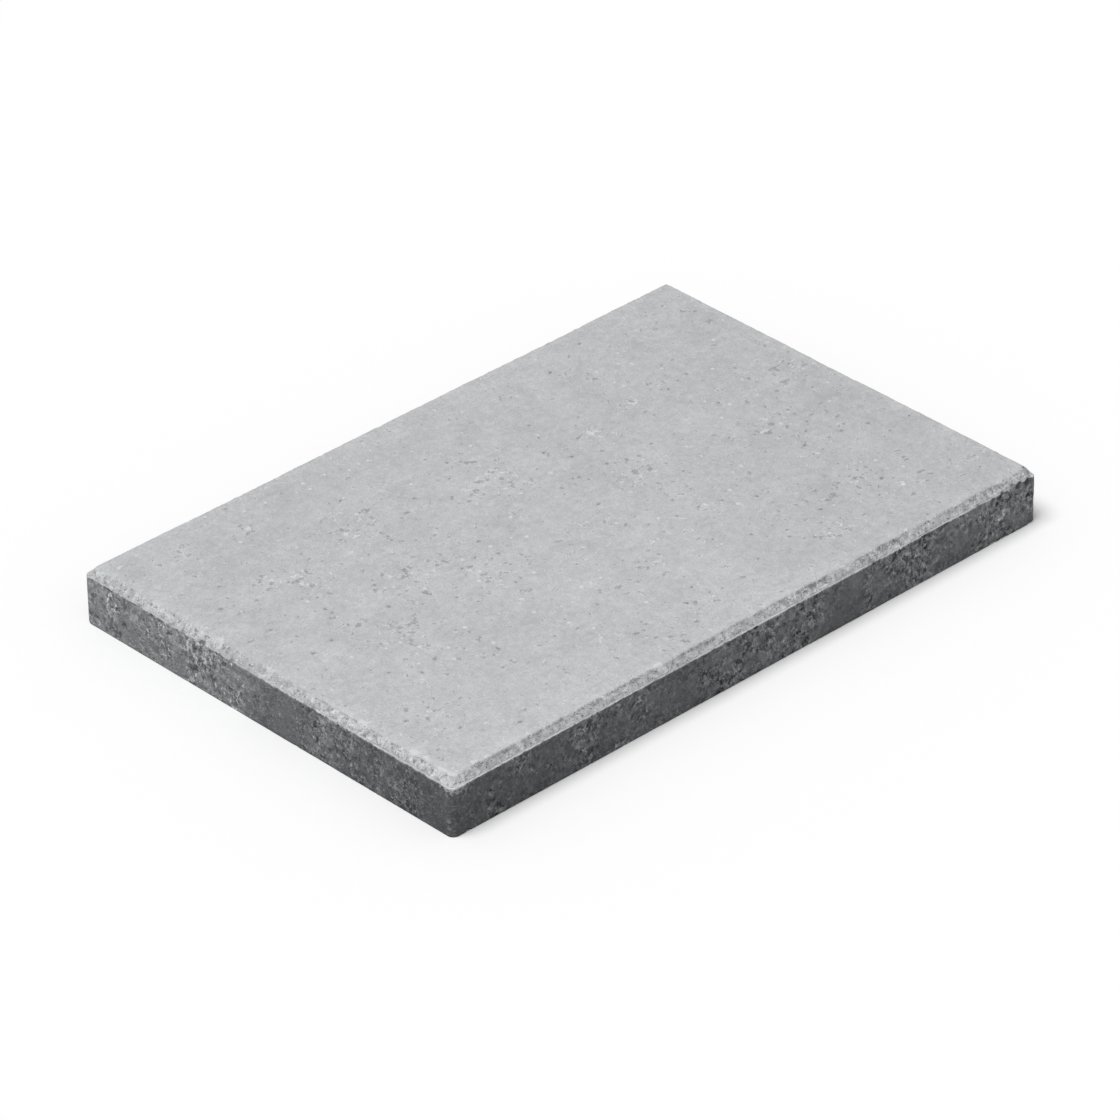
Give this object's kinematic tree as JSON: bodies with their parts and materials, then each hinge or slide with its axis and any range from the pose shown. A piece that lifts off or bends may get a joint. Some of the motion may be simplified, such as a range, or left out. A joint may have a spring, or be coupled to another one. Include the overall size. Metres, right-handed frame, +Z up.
{
  "type": "concrete wall coping",
  "caption": "Flat rectangular precast concrete slab with a bevelled top edge, laid along the top of a block wall to cap it and shed rain.",
  "frame": {"origin": "middle of the flat underside, which beds on the wall", "axes": "+X along the slab's length, +Y across its width, +Z up to the bevelled top face"},
  "size_m": [0.5, 0.33, 0.04],
  "materials": {
    "concrete": "smooth cast grey concrete on top, coarser grain on the sides"
  },
  "bodies": {
    "root": {"coping_slab": "concrete"}
  },
  "joints": []
}
